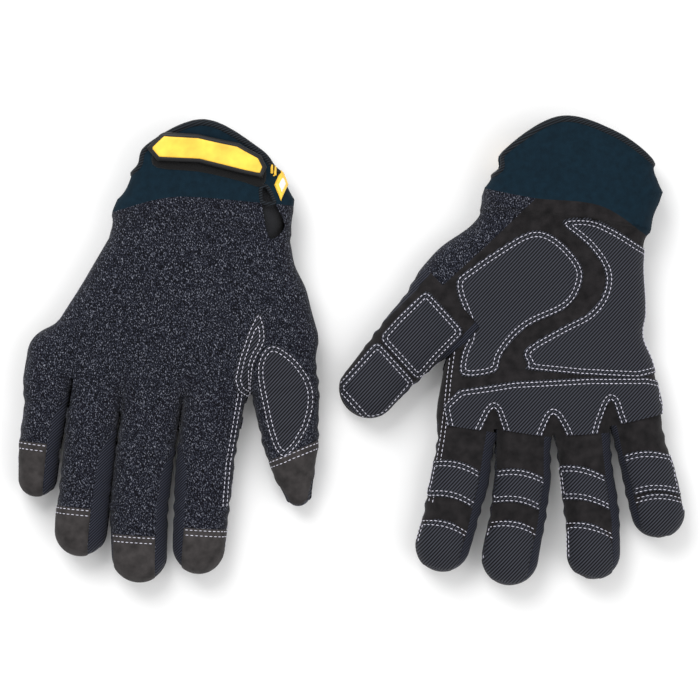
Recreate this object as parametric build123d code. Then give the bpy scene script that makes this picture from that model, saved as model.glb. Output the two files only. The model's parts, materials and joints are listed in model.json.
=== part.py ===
"""A pair of padded work gloves lying side by side, one back up and one palm up.

Frame: millimetres, +Z up, fingers towards -Y, cuffs towards +Y. The origin is at the
middle of the pair's footprint, on the surface that the gloves lie on. Glove "a" lies palm down and
glove "b" palm up. Every finger has a knuckle hinge and a middle hinge, and each cuff
has a hook-and-loop strap that swings open.
"""

import math
import os

from build123d import *

# ---------------------------------------------------------------- driving dimensions
WALL = 2.2                  # outer shell of the hand and fingers
LINING = 1.0                # fleece lining inside the hand
PATCH = 1.2                 # reinforcement patches on the palm
NEOPRENE = 2.8              # cuff
BINDING = 0.9               # elastic binding over the cuff's rim
FINGER_HIGH = 25.0          # a finger's thickness
FINGER_LOW = 0.5            # a finger's underside above the table
SEAM_Z = FINGER_LOW + FINGER_HIGH / 2   # side seam, and the height of every finger hinge
HAND_HIGH = 32.0            # the hand's thickness
HAND_ROUND = 11.0           # rounding of the hand's upper half
HAND_CORNER = 12.0          # rounding of the hand's outline at its corners
HAND_ROUND_LOW = 7.0        # rounding of the hand's lower half
FINGER_ROUND = 0.44         # rounding of a finger, as a share of its width
HINGE_GAP = 0.3             # between segments, on the back of a hinge
FLEX_DEG = 60.0             # how far each finger hinge closes
NOTCH_DEG = FLEX_DEG / 2 + 1.5   # half of the notch on the palm side of a hinge
STUB = 34.0                 # a finger's root, from inside the hand to its first hinge
PAD_THICK = 1.0             # loop pad on the cuff
STRAP_THICK = 1.2
TAB_THICK = 1.8             # moulded pull tab on the strap
INLAY_THICK = 0.6
STRAP_GAP = 0.4             # between the loop pad and the strap
STRAP_OPENS_DEG = 110.0
CUFF_HIGH = 30.0            # the cuff lying flattened
CUFF_ROUND = 13.0           # rounding of the cuff's two long sides
CUFF_LOW_UP = 4.8           # glove b's cuff lies on its own strap
BINDING_WIDE = 5.0
STRAP_FROM = 0.04           # along the rim's arc, from the little finger's side
STRAP_TO = 0.86
TAB_TO = 0.78
STRAP_BELOW = (8.5, 20.5)   # the strap's edges, below the rim
VENT = (0.885, 0.93)        # the wrist vent, beyond the strap's fixed end
LIFT = 150.0                # how far glove b lifts off, clear of glove a

# Each finger: tip point, lean from -Y towards +X in degrees, distance from the tip to
# the middle hinge and to the knuckle hinge, and its width at knuckle, middle and tip.
FINGERS_A = {
    "index": ((-82.5, -120.5), -3.4, 35, 67, (30, 30, 26)),
    "middle": ((-115.5, -125.3), -3.5, 40, 71, (30.5, 30.5, 27)),
    "ring": ((-146.5, -111.0), -5.1, 37, 67, (27.5, 27, 24)),
    "little": ((-171.0, -80.0), -7.0, 29, 55, (22.5, 21, 18)),
    "thumb": ((-27.0, -84.2), 7.0, 37, 66, (34, 29, 17)),
}
FINGERS_B = {
    "index": ((51.3, -120.4), -9.0, 35, 67, (30, 30, 27)),
    "middle": ((83.7, -127.4), -8.6, 40, 71, (30.5, 30.5, 28)),
    "ring": ((129.6, -124.2), 3.1, 37, 67, (28, 28, 26)),
    "little": ((168.0, -103.0), 13.4, 29, 55, (26, 26, 23)),
    "thumb": ((-4.0, -29.5), -47.8, 38, 70, (34, 33, 25)),
}
# The hand's outline from the wrist round the little finger's side, without fingers.
HAND_A = [
    (-36, 78), (-122, 78), (-131, 59), (-153, 25), (-174, -14),
    (-151, -22), (-125, -34), (-93, -42), (-62, -40), (-57, -12), (-24, -6), (-26, 22), (-34, 50),
]
HAND_B = [
    (77, 80), (158, 62), (156, 37), (157.5, 10), (161, -20), (167, -43),
    (142, -45), (112, -43), (79, -40), (48, -42), (52, -22), (56, 3), (54, 27), (64, 60),
]
# The cuff: two points of its centre line, half its width, the ends of its seam and its
# rim's arc, both from the little finger's side to the thumb's side.
CUFF_A = {
    "from": (-78, 72), "to": (-72, 126), "half": 41.5,
    "seam": ((-125, 78.0), (-30, 78.0)), "rim": ((-114, 105), (-77, 124), (-33, 103)),
}
CUFF_B = {
    "from": (116, 64), "to": (125, 126), "half": 41.5,
    "seam": ((164, 60.7), (70, 81.6)), "rim": ((165, 97), (119, 124.5), (79, 104)),
}
# Reinforcement patches of the palm as closed outlines, in each glove's own place.
PATCHES_A = {
    "thenar_patch": [(-88, 58), (-62, 50), (-52, 30), (-64, 4), (-84, 6), (-98, 30)],
    "hypothenar_patch": [(-110, 60), (-124, 48), (-146, 14), (-116, 6), (-104, 22), (-106, 40)],
    "knuckle_patch": [(-160, -4), (-146, -14), (-122, -24), (-94, -30), (-70, -29),
                      (-66, -14), (-90, -12), (-120, -4), (-146, 2)],
}
PATCHES_B = {
    "thenar_patch": [(98, 62), (112, 52), (116, 34), (98, 16), (84, 6), (70, 18), (72, 42)],
    "hypothenar_patch": [(118, 58), (143, 50), (143, 8), (112, 2), (108, 14), (128, 34)],
    "knuckle_patch": [(66, -8), (145, 0), (148, -28), (126, -30), (94, -30), (66, -28)],
}


# ---------------------------------------------------------------- small shape helpers
def outline(points, corner=0.0):
    """A face from a closed list of points, with its corners rounded."""
    face = make_face(Polyline(*points, close=True))
    return fillet(face.vertices(), corner) if corner else face


def inset(face, distance):
    """The face with its edge moved in by a distance."""
    return offset(face, -distance, kind=Kind.INTERSECTION)


def slab(face, z_from, z_to, rounding=0.0):
    """The face as a solid between two heights, with the edge at z_to rounded."""
    low, high = min(z_from, z_to), max(z_from, z_to)
    solid = Pos(0, 0, low) * extrude(face, high - low)
    if rounding:
        far = solid.faces().sort_by(Axis.Z)[-1 if z_to > z_from else 0]
        solid = fillet(far.edges(), rounding)
    return solid


def half_shell(face, z_to, rounding, wall=WALL):
    """Half of a hollow pillow, from the side seam to a flat face at z_to."""
    inward = math.copysign(wall, SEAM_Z - z_to)
    solid = slab(face, SEAM_Z, z_to, rounding)
    hollow = slab(inset(face, wall), SEAM_Z, z_to + inward, max(rounding - wall, 0.5))
    return solid, hollow


def notch(y, up, side):
    """What a hinge at y takes off one segment. side is +1 for the one beyond the hinge."""
    tall, wide = 2 * HAND_HIGH, 120.0
    back = Pos(0, y + side * (HINGE_GAP / 2 - wide / 2), SEAM_Z) * Box(wide, wide, 2 * tall)
    palm = 1 if up else -1
    reach = tall * math.tan(math.radians(NOTCH_DEG))
    start = y + side * HINGE_GAP / 2
    section = Plane.YZ * make_face(Polyline(
        (start, SEAM_Z), (start + side * reach, SEAM_Z + palm * tall),
        (start - side * 1.0, SEAM_Z + palm * tall), (start - side * 1.0, SEAM_Z), close=True))
    return back + extrude(section, wide / 2, both=True)


# ---------------------------------------------------------------- fingers
class Finger:
    """One finger: its place, its hinges, and its solids in the row frame."""

    def __init__(self, data, palm_up):
        self.tip, lean, self.to_middle, self.to_knuckle, self.widths = data
        turn = math.radians(lean)
        self.along = (math.sin(turn), -math.cos(turn))
        self.palm_up = palm_up
        # Local frame: origin at the knuckle hinge, +Y towards the tip.
        x, y = (self.tip[i] - self.along[i] * self.to_knuckle for i in (0, 1))
        self.place = Location((x, y, 0), (0, 0, 180 + lean))
        self.flex = 1 if palm_up else -1

    def hinge(self, from_tip):
        """A hinge's point and axis. Positive turns the finger towards the palm."""
        point = [self.tip[i] - self.along[i] * from_tip for i in (0, 1)] + [SEAM_Z]
        axis = [self.along[1] * self.flex, -self.along[0] * self.flex, 0.0]
        return point, axis

    def root(self, wall_in=0.0):
        """The full-height root that grows out of the hand, up to the knuckle hinge."""
        wide, high = self.widths[0] - 2 * wall_in, FINGER_HIGH - 2 * wall_in
        rounding = min(FINGER_ROUND * self.widths[0], 10.5) - wall_in
        profile = Plane.XZ * Pos(0, SEAM_Z) * RectangleRounded(wide, high, rounding)
        return self.place * extrude(profile, STUB)

    def cut(self, hand):
        """The hand with the knuckle hinge's notch taken off this finger's root."""
        keep_off = Pos(0, 30, 0) * Box(self.widths[0] + 0.8, 60, 300)
        tool = notch(0, self.palm_up, -1) & (Pos(0, 0, 0) * Box(self.widths[0] + 0.8, 40, 300))
        return hand - self.place * (keep_off + tool)

    def segment(self, start, end, wide_from, wide_to, closed):
        """Back and palm halves of the finger between two distances from the knuckle."""
        face = outline([(-wide_from / 2, start), (wide_from / 2, start),
                        (wide_to / 2, end), (-wide_to / 2, end)])
        if closed:
            corners = face.vertices().sort_by(Axis.Y)[-2:]
            face = fillet(corners, 0.46 * wide_to)
        rounding = min(FINGER_ROUND * min(wide_from, wide_to), 10.5)
        halves = {}
        for name, up in (("back", not self.palm_up), ("palm", self.palm_up)):
            z_to = SEAM_Z + (FINGER_HIGH / 2 if up else -FINGER_HIGH / 2)
            inward = math.copysign(WALL, SEAM_Z - z_to)
            body = slab(face, SEAM_Z, z_to, rounding)
            # The hollow runs out of the open ends, and stops short of a closed tip.
            reach = end - WALL if closed else end + 1
            inner = outline([(-wide_from / 2 + WALL, start - 1), (wide_from / 2 - WALL, start - 1),
                             (wide_to / 2 - WALL, reach), (-wide_to / 2 + WALL, reach)])
            if closed:
                corners = inner.vertices().sort_by(Axis.Y)[-2:]
                inner = fillet(corners, 0.46 * wide_to - WALL)
            body -= slab(inner, SEAM_Z, z_to + inward, rounding - WALL)
            body -= notch(start, self.palm_up, 1)
            if not closed:
                body -= notch(end, self.palm_up, -1)
            halves[name] = self.place * body
        return halves

    def segments(self):
        between = self.to_knuckle - self.to_middle
        knuckle, middle, tip = self.widths
        return {
            "mid": self.segment(0, between, knuckle, middle, False),
            "tip": self.segment(between, self.to_knuckle, middle, tip, True),
        }


# ---------------------------------------------------------------- cuff and strap
class Cuff:
    """The cuff's flattened tube, its rim, and the strap that closes it."""

    def __init__(self, data, palm_up):
        self.data = data
        self.palm_up = palm_up
        self.low = CUFF_LOW_UP if palm_up else BINDING
        self.start, end = Vector(*data["from"], 0), Vector(*data["to"], 0)
        self.axis = (end - self.start).normalized()
        self.rim = [Vector(*p, 0) for p in data["rim"]]
        # The strap lies on the back of the hand: on top, or under the glove palm up.
        self.outer = self.low if palm_up else self.low + CUFF_HIGH
        self.outward = -1 if palm_up else 1

    def tube(self, out):
        """The cuff's solid tube, grown by out."""
        middle = self.start - self.axis * 30 + Vector(0, 0, self.low + CUFF_HIGH / 2)
        across = Vector(self.axis.Y, -self.axis.X, 0)
        plane = Plane(origin=middle, x_dir=across, z_dir=self.axis)
        section = RectangleRounded(2 * (self.data["half"] + out), CUFF_HIGH + 2 * out,
                                   CUFF_ROUND + out)
        return extrude(plane * section, 130)

    def rim_arc(self, below):
        return ThreePointArc(*(p - self.axis * below for p in self.rim))

    def band(self, low, high, start, stop):
        """A strip between two distances below the rim, over a share of its width."""
        shares = (start, (start + stop) / 2, stop)
        upper = [self.rim_arc(low) @ s for s in shares]
        lower = [self.rim_arc(high) @ s for s in reversed(shares)]
        return make_face([ThreePointArc(*upper), Line(upper[-1], lower[0]),
                          ThreePointArc(*lower), Line(lower[-1], upper[0])])

    def layer(self, face, near, far):
        """The face as a slab between two distances outside the cuff's flat back."""
        return slab(face, self.outer + self.outward * near, self.outer + self.outward * far)

    def region(self, beyond_rim):
        """The cuff seen from above: from the hand's seam to the rim's arc."""
        little, peak, thumb = (p + self.axis * beyond_rim for p in self.rim)
        side = (thumb - little).normalized() * 12
        seam_little, seam_thumb = (Vector(*p, 0) for p in self.data["seam"])
        face = make_face([
            ThreePointArc(little, peak, thumb), Line(thumb, thumb + side),
            Line(thumb + side, seam_thumb), Line(seam_thumb, seam_little),
            Line(seam_little, little - side), Line(little - side, little)])
        return Pos(0, 0, -10) * extrude(face, 80)

    def hinge(self):
        """The strap's hinge, along its fixed end. Positive opens the strap."""
        point = self.rim_arc(STRAP_BELOW[0]) @ STRAP_TO
        height = self.outer + self.outward * (PAD_THICK + STRAP_GAP)
        point = point - self.axis * (STRAP_BELOW[1] - STRAP_BELOW[0]) / 2
        return [point.X, point.Y, height], [self.axis.X, self.axis.Y, 0.0]

    def pieces(self):
        shell = (self.tube(0) - self.tube(-NEOPRENE)) & self.region(0)
        vent = self.band(-3, 60, VENT[0], VENT[1])
        vent = self.layer(vent, -NEOPRENE - 2, 6)
        shell -= vent
        over = self.tube(BINDING) - self.tube(-NEOPRENE - BINDING)
        rim_zone = self.region(BINDING) & slab(self.band(-3, BINDING_WIDE, 0, 1), -10, 70)
        rim = (over & rim_zone) - shell - vent
        lift = PAD_THICK + STRAP_GAP
        strap_out, tab_out = lift + STRAP_THICK, lift + STRAP_THICK + TAB_THICK
        inlay = self.band(10.5, 18.5, STRAP_FROM + 0.05, TAB_TO - 0.03)
        inlay = self.layer(inlay, tab_out - INLAY_THICK, tab_out)
        tab = self.layer(self.band(8, 21, STRAP_FROM - 0.01, TAB_TO), strap_out, tab_out)
        return {
            "cuff": shell,
            "cuff_binding": rim,
            "loop_pad": self.layer(self.band(9, 25, 0.16, STRAP_TO - 0.05), 0, PAD_THICK),
            "strap": self.layer(self.band(*STRAP_BELOW, STRAP_FROM, STRAP_TO), lift, strap_out),
            "pull_tab": tab - inlay,
            "tab_inlay": inlay,
        }


# ---------------------------------------------------------------- a whole glove
def hand_pieces(points, fingers, patches, palm_up, cuff):
    """Back panel, palm panel, lining and palm patches of one hand."""
    face = outline(points, HAND_CORNER)
    palm_z = HAND_HIGH - PATCH if palm_up else PATCH
    back_z = 0.0 if palm_up else HAND_HIGH
    seam_cut = cuff.region(60)
    flat = (HAND_HIGH - PATCH, HAND_HIGH) if palm_up else (0.0, PATCH)
    found = {name: slab(outline(at, 3.5), *flat) for name, at in patches.items()}
    sleeve = []
    for name, z_to in (("back_panel", back_z), ("palm_panel", palm_z)):
        up = 1 if z_to > SEAM_Z else -1
        half = Pos(0, 0, SEAM_Z + up * 100) * Box(900, 900, 200)
        rounding = HAND_ROUND if up > 0 else HAND_ROUND_LOW
        panel, hollow = half_shell(face, z_to, rounding)
        sheet = z_to - up * (WALL + 0.02)
        lined = slab(inset(face, WALL + 0.02), SEAM_Z, sheet, rounding - WALL)
        lined -= slab(inset(face, WALL + LINING), SEAM_Z, sheet - up * LINING,
                      rounding - WALL - LINING)
        lined -= wrist_mouth(points, z_to, WALL + LINING)
        for finger in fingers.values():
            panel += finger.root() & half
        panel -= hollow
        panel -= wrist_mouth(points, z_to)
        for finger in fingers.values():
            panel -= finger.root(WALL) & half
            panel = finger.cut(panel)
            lined = finger.cut(lined - (finger.root(WALL - 0.02) & half))
        if name == "palm_panel" and not palm_up:
            for patch in patches:
                panel -= found[patch]
        found[name] = panel - seam_cut
        sleeve.append(lined - seam_cut)
    found["lining"] = sleeve[0] + sleeve[1]
    return found


def wrist_mouth(points, z_to, wall=WALL):
    """The opening from the hand's hollow out through its wrist end."""
    a, b = Vector(*points[0], 0), Vector(*points[1], 0)
    across = (b - a).normalized()
    wide = (b - a).length - 2 * wall - 14
    middle = (a + b) * 0.5
    turn = math.degrees(math.atan2(across.Y, across.X))
    inward = math.copysign(wall, SEAM_Z - z_to)
    high = abs(z_to + inward - SEAM_Z)
    centre = SEAM_Z + math.copysign(high / 2, z_to - SEAM_Z)
    return Location((middle.X, middle.Y, centre), (0, 0, turn)) * Box(wide, 16, high)


def build_glove(mark, finger_data, hand_points, cuff_data, patches, palm_up):
    fingers = {n: Finger(d, palm_up) for n, d in finger_data.items()}
    cuff = Cuff(cuff_data, palm_up)
    nodes = hand_pieces(hand_points, fingers, patches, palm_up, cuff)
    nodes.update(cuff.pieces())
    bodies = {"hand": list(nodes)}
    bodies["strap"] = [bodies["hand"].pop(bodies["hand"].index(n))
                       for n in ("strap", "pull_tab", "tab_inlay")]
    joints = [("strap", "hand", *cuff.hinge(), STRAP_OPENS_DEG)]
    for name, finger in fingers.items():
        for part, halves in finger.segments().items():
            body = f"{name}_{part}"
            if name == "thumb":
                nodes[body] = halves["back"] + halves["palm"]
                bodies[body] = [body]
            else:
                bodies[body] = [f"{body}_{side}" for side in halves]
                nodes.update({f"{body}_{side}": h for side, h in halves.items()})
        joints.append((f"{name}_mid", "hand", *finger.hinge(finger.to_knuckle), FLEX_DEG))
        joints.append((f"{name}_tip", f"{name}_mid", *finger.hinge(finger.to_middle), FLEX_DEG))
    tag = lambda n: f"{mark}_{n}"
    return (
        {tag(n): s for n, s in nodes.items()},
        {tag(b): [tag(n) for n in ns] for b, ns in bodies.items()},
        [(tag(c), tag(p), at, axis, most) for c, p, at, axis, most in joints],
    )


NODES, BODIES, JOINTS = {}, {}, []
for arguments in (
    ("a", FINGERS_A, HAND_A, CUFF_A, PATCHES_A, False),
    ("b", FINGERS_B, HAND_B, CUFF_B, PATCHES_B, True),
):
    built, groups, hinges = build_glove(*arguments)
    NODES.update(built)
    BODIES.update(groups)
    JOINTS += hinges

# The origin goes to the middle of the pair's footprint.
whole = Compound(children=[Compound(children=s.solids()) for s in NODES.values()]).bounding_box()
ORIGIN = whole.center()
CENTRED = Pos(-ORIGIN.X, -ORIGIN.Y, 0)

os.makedirs("parts", exist_ok=True)
for node, shape in NODES.items():
    export_step(CENTRED * shape, f"parts/{node}.step")
print("size", whole.size, "lowest", whole.min.Z, "nodes", len(NODES))
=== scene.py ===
"""A pair of work gloves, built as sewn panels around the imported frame.

Each glove's skin is one smooth solid made of a hand, a cuff and five fingers. It is meshed in
zones, one for the hand and two for each finger, and every zone is cut along its seams into
panels. Patches, caps, the strap and the stitches are laid on that skin. Lengths are in
millimetres in the frame of the CAD part, up to the point where a mesh is made.
"""

import json

import bpy
import numpy as np
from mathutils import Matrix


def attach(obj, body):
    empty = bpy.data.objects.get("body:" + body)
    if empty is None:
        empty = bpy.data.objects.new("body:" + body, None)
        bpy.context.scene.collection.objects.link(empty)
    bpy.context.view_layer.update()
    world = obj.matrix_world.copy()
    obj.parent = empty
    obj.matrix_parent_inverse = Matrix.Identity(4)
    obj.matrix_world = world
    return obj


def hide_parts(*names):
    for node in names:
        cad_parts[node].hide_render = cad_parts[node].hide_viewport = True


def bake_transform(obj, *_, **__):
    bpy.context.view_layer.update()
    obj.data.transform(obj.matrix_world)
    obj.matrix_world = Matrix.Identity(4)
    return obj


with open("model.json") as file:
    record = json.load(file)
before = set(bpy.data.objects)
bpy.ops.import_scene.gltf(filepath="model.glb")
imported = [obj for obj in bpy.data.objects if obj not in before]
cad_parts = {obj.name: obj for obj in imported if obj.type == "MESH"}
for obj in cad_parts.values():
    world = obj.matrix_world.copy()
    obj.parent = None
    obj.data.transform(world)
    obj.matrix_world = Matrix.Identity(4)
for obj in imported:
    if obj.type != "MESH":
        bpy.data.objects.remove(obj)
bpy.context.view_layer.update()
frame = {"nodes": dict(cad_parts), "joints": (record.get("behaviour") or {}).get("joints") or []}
MM = 0.001
JOINTS = {j["name"]: j for j in frame["joints"]}

# ------------------------------------------------------------------ driving dimensions
CENTRE = np.array([0.93, 1.19])      # from the outlines' own origin to the row's
HAND_STEP, FINGER_STEP = 1.5, 1.15   # mesh size
ROUND = 2.35                         # fullness of every cross-section
FINGER_ROOT = -12.0                  # where a finger's zone starts, before its knuckle hinge
BEND = 9.0                           # half the length of cloth either side of a hinge
SEAM_Z = 13.0
STITCH = {"long": 1.6, "pitch": 2.45, "thick": 0.25}
ROWS = (1.1, 3.3)                    # two rows of stitches, in from a patch's edge
PATCH_THICK, CAP_THICK = 0.8, 0.6
ARCH = 0.018                         # how far the seams across a finger arch
WEB = 8.0                            # how far the hand's cloth reaches past the knuckles
THUMB_CAP_SLANT = -0.28              # the slope of the thumb cap's edge
SIDE_ROWS = (0.4, 2.4)               # the index finger's side seam
SIDE_SEAM = (-52.0, 30.0)            # where that seam starts and stops, past the knuckle
BINDINGS = {"cuff_binding": (2.0, 1.1), "vent_binding": (1.0, 0.0)}  # radius, depth in the skin
FLOOR_DROP = 0.4
CAMERA_HEIGHT, CAMERA_SPAN = 1.8, 0.378  # metres

# Fingers as centre lines: x, y and half width.
SPINES = {
    "a": {
        "index": [(-72, -5, 17), (-74.5, -25, 16.2), (-79.5, -60, 15.2), (-81.5, -88, 15),
                  (-83.2, -106.4, 14)],
        "middle": [(-106, -5, 17), (-107.5, -21.6, 16.4), (-112.5, -60, 15.6),
                   (-115, -85, 15.5), (-114.9, -110.4, 14.9)],
        "ring": [(-137, -5, 15.5), (-138.5, -21.6, 14.4), (-142.5, -60, 14.0),
                 (-145.6, -85, 13.9), (-146.6, -97.8, 13.6)],
        "little": [(-162, -2, 13), (-165.2, -30, 11.8), (-168.6, -52, 10.6), (-169.9, -69.5, 9.6)],
        "thumb": [(-42, 25, 17), (-38, 5, 18), (-35.6, -25, 17.8), (-33.3, -48.6, 15.3),
                  (-31.2, -65.9, 10.8), (-29, -78, 6.8)],
    },
    "b": {
        "index": [(67, -15, 17), (64.5, -32, 16.3), (61.5, -50, 15.4), (58.4, -70.2, 15.7),
                  (53.3, -91.8, 15), (49.6, -105, 14.6)],
        "middle": [(94, -15, 17), (93.5, -32, 16), (92.6, -50, 15.2), (92.5, -70.2, 15.7),
                   (89.3, -91.8, 15.5), (85.3, -111.3, 15.4)],
        "ring": [(121, -15, 16.5), (123, -32, 15.6), (124.7, -50, 14.8), (126.8, -70.2, 14.8),
                 (129.8, -91.8, 14.9), (130.4, -109.5, 14.6)],
        "little": [(146, -12, 14.5), (150, -28, 14), (153.5, -40, 13.4), (156.6, -54, 13.4),
                   (161, -70.2, 13.8), (165, -87.3, 14)],
        "thumb": [(62, 38, 20), (47.5, 20.5, 20), (34.3, 7.6, 18.7), (20.5, -8, 16.7),
                  (9.3, -20.8, 15.6)],
    },
}
HANDS = {
    "a": [(-119, 86), (-131, 60), (-147, 34), (-163, 8), (-173.5, -14), (-168, -22), (-150, -14),
          (-122, -17), (-90, -18), (-62, -22), (-57, -14), (-34, 4), (-21.5, 5), (-28, 29),
          (-33.5, 59), (-37.5, 86)],
    "b": [(163, 90), (158, 64), (156.5, 42), (158, 20), (156.5, 8), (160, -18), (163, -32),
          (140, -36), (110, -41), (77, -37), (51, -40), (52.5, -16), (55, 0), (42, 14),
          (38, 38), (56.7, 59.4), (70, 74), (79.5, 90)],
}
# Cuffs: a point of the centre line and its direction, the half widths at the hand and at the
# rim, the height of the middle, the rim's arc and the seam with the hand, little side first.
CUFFS = {
    "a": {"at": (-79.7, 81), "dir": (0.11, 0.994), "half": (41.5, 39.5), "z": 16.2,
          "rim": [(-150, 88), (-118, 97), (-110.7, 109.5), (-79.4, 123.2), (-48.6, 107),
                  (-37.5, 96), (-10, 88)],
          "seam": [(-132, 73), (-121.5, 76), (-93.4, 82), (-49, 78.8), (-25, 77)]},
    "b": {"at": (117.6, 81), "dir": (0.144, 0.99), "half": (42.5, 41.0), "z": 19.9,
          "rim": [(200, 84), (168, 92), (164.2, 100), (140, 117), (110.7, 124.6), (81, 106.9),
                  (77, 96), (45, 86)],
          "seam": [(172, 58), (157.7, 62), (132.3, 77.2), (98.8, 81), (79.4, 84.8), (60, 90)]},
}
# Back panel of each finger: offset of its middle, half widths at the root, middle and tip.
BACKS = {"index": (3.6, 18, 12.5, 11.6), "middle": (-2.4, 18, 12.8, 11.2),
         "ring": (-4.6, 17, 10.6, 9.8), "little": (-3.4, 15, 8.4, 7.2), "thumb": (0, 22, 17, 15)}
CAPS = {"index": 25.5, "middle": 26.5, "ring": 27.0, "little": 31.0, "thumb": 31.0}
# Palm panel of each finger: its middle's offset towards the thumb, and its half width.
PALMS = {"index": (3.2, 12.9), "middle": (2.0, 12.6), "ring": (2.4, 12.2),
         "little": (-1.6, 12.6), "thumb": (0.0, 17.5)}
# Palm patches of each finger, measured back from the fingertip: the middle one's two ends, the
# tip one's end, and their slant.
PADS = {"index": (61, 40.5, 28.5, 0.06), "middle": (64, 45.5, 36, 0.0),
        "ring": (62, 43, 31.5, 0.28), "little": (50, 27.3, 26.5, 0.25)}
TIP_REACH = {"a": {"index": 35, "middle": 40, "ring": 37, "little": 29, "thumb": 37},
             "b": {"index": 35, "middle": 40, "ring": 37, "little": 29, "thumb": 38}}
# Palm patches in the place of glove b. Glove a's are the same ones mirrored onto its palm.
PALM = {
    "thenar_patch": [(96, 64), (110, 60), (122.6, 46), (123, 34.6), (115.6, 22.7), (97, 14),
                     (87, 6), (80, -4), (77, -12), (59, -14), (59, -2), (63, 11), (56.7, 29),
                     (56.2, 38), (62, 43), (77, 53.5)],
    "hypothenar_patch": [(112, 68.6), (127, 70.7), (141, 64.8), (158, 54.5), (175, 50),
                         (175, -10), (100.4, -11.3), (94, -7), (93, 1), (113, 13), (127, 20.5),
                         (134.5, 31), (135, 43), (126, 56)],
    "knuckle_patch": [(57.8, -21), (158, -14.6), (168, -26), (175, -42), (160, -46), (148, -45.4),
                      (143, -36), (139, -27), (134, -38), (130, -50), (119.3, -53.5),
                      (114, -43), (108, -34.6), (103, -44), (97, -56), (85, -54), (81, -42),
                      (76, -31.3), (70, -42), (64, -51.8), (54.5, -49)],
}
PALM_FRAME = {"a": ((-79, 78), (-0.313, -0.950), (0.950, -0.313)),
              "b": ((118, 78), (-0.055, -0.998), (-0.998, 0.055))}
BACK_PATCHES_A = {
    "thumb_patch": [(-44, 3), (-33, -2), (-24, -13), (-20.5, -25), (-23, -40), (-30, -53),
                    (-37, -58), (-43, -50), (-48, -30), (-51, -8)],
    "saddle_patch": [(-51, 20), (-46, 6), (-52.5, -8), (-54, -26), (-64, -16)],
}


# ------------------------------------------------------------------ fields
def smooth_min(a, b, k):
    h = np.clip(1 - np.abs(a - b) / k, 0, None)
    return np.minimum(a, b) - h * h * k / 4


def full(a, b):
    """How far out a point is in a full, rounded cross-section: 1 on its outline."""
    return (np.abs(a) ** ROUND + np.abs(b) ** ROUND) ** (1 / ROUND)


def rounded(points, closed=True, each=4):
    """A smooth line through the points."""
    p = np.array(points, float)
    n = len(p)
    out = []
    for i in range(n if closed else n - 1):
        if closed:
            a, b, c, d = (p[(i + j) % n] for j in (-1, 0, 1, 2))
        else:
            a, b, c, d = (p[min(max(i + j, 0), n - 1)] for j in (-1, 0, 1, 2))
        for t in np.arange(each) / each:
            out.append(0.5 * (2 * b + (c - a) * t + (2 * a - 5 * b + 4 * c - d) * t * t
                              + (3 * b - a - 3 * c + d) * t ** 3))
    if not closed:
        out.append(p[-1])
    return np.array(out)


def from_outline(xy, line):
    """Distance from a closed outline, negative inside."""
    best = np.full(xy.shape[:-1], 1e9)
    inside = np.zeros(xy.shape[:-1], bool)
    for a, b in zip(line, np.roll(line, -1, 0)):
        e, w = b - a, xy - a
        t = np.clip((w @ e) / (e @ e), 0, 1)[..., None]
        best = np.minimum(best, ((w - t * e) ** 2).sum(-1))
        crosses = (a[1] > xy[..., 1]) != (b[1] > xy[..., 1])
        with np.errstate(divide="ignore", invalid="ignore"):
            inside ^= crosses & (w[..., 0] < e[0] * w[..., 1] / e[1])
    return np.where(inside, -1, 1) * np.sqrt(best)


def from_line(xy, line):
    """Signed distance from an open line, positive on its left."""
    best = np.full(xy.shape[:-1], 1e9)
    sign = np.zeros(xy.shape[:-1])
    for a, b in zip(line[:-1], line[1:]):
        e, w = b - a, xy - a
        t = np.clip((w @ e) / (e @ e), 0, 1)[..., None]
        d = ((w - t * e) ** 2).sum(-1)
        near = d < best
        best = np.where(near, d, best)
        sign = np.where(near, e[0] * w[..., 1] - e[1] * w[..., 0], sign)
    return np.sign(sign) * np.sqrt(best)


def along_spine(xy, spine):
    """Distance from a finger's centre line, its half width there, and the signed distance."""
    best = np.full(xy.shape[:-1], 1e9)
    width, side = np.zeros_like(best), np.zeros_like(best)
    for a, b in zip(spine[:-1], spine[1:]):
        e, w = (b - a)[:2], xy - a[:2]
        t = np.clip((w @ e) / (e @ e), 0, 1)
        d = np.sqrt(((w - t[..., None] * e) ** 2).sum(-1))
        half = a[2] + (b[2] - a[2]) * t
        near = d / half < best
        best = np.where(near, d / half, best)
        width = np.where(near, half, width)
        side = np.where(near, (e[0] * w[..., 1] - e[1] * w[..., 0]) / np.sqrt(e @ e), side)
    return best, width, side


rng = np.random.default_rng(7)
WAVES = [(rng.normal(size=3) / rng.uniform(7, 20), rng.uniform(0, 6.3)) for _ in range(22)]


def ripple(p):
    """Soft unevenness of stuffed cloth, about -1 to 1."""
    total = 0
    for direction, phase in WAVES:
        total = total + np.sin(p @ direction + phase)
    return total / np.sqrt(len(WAVES))


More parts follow.
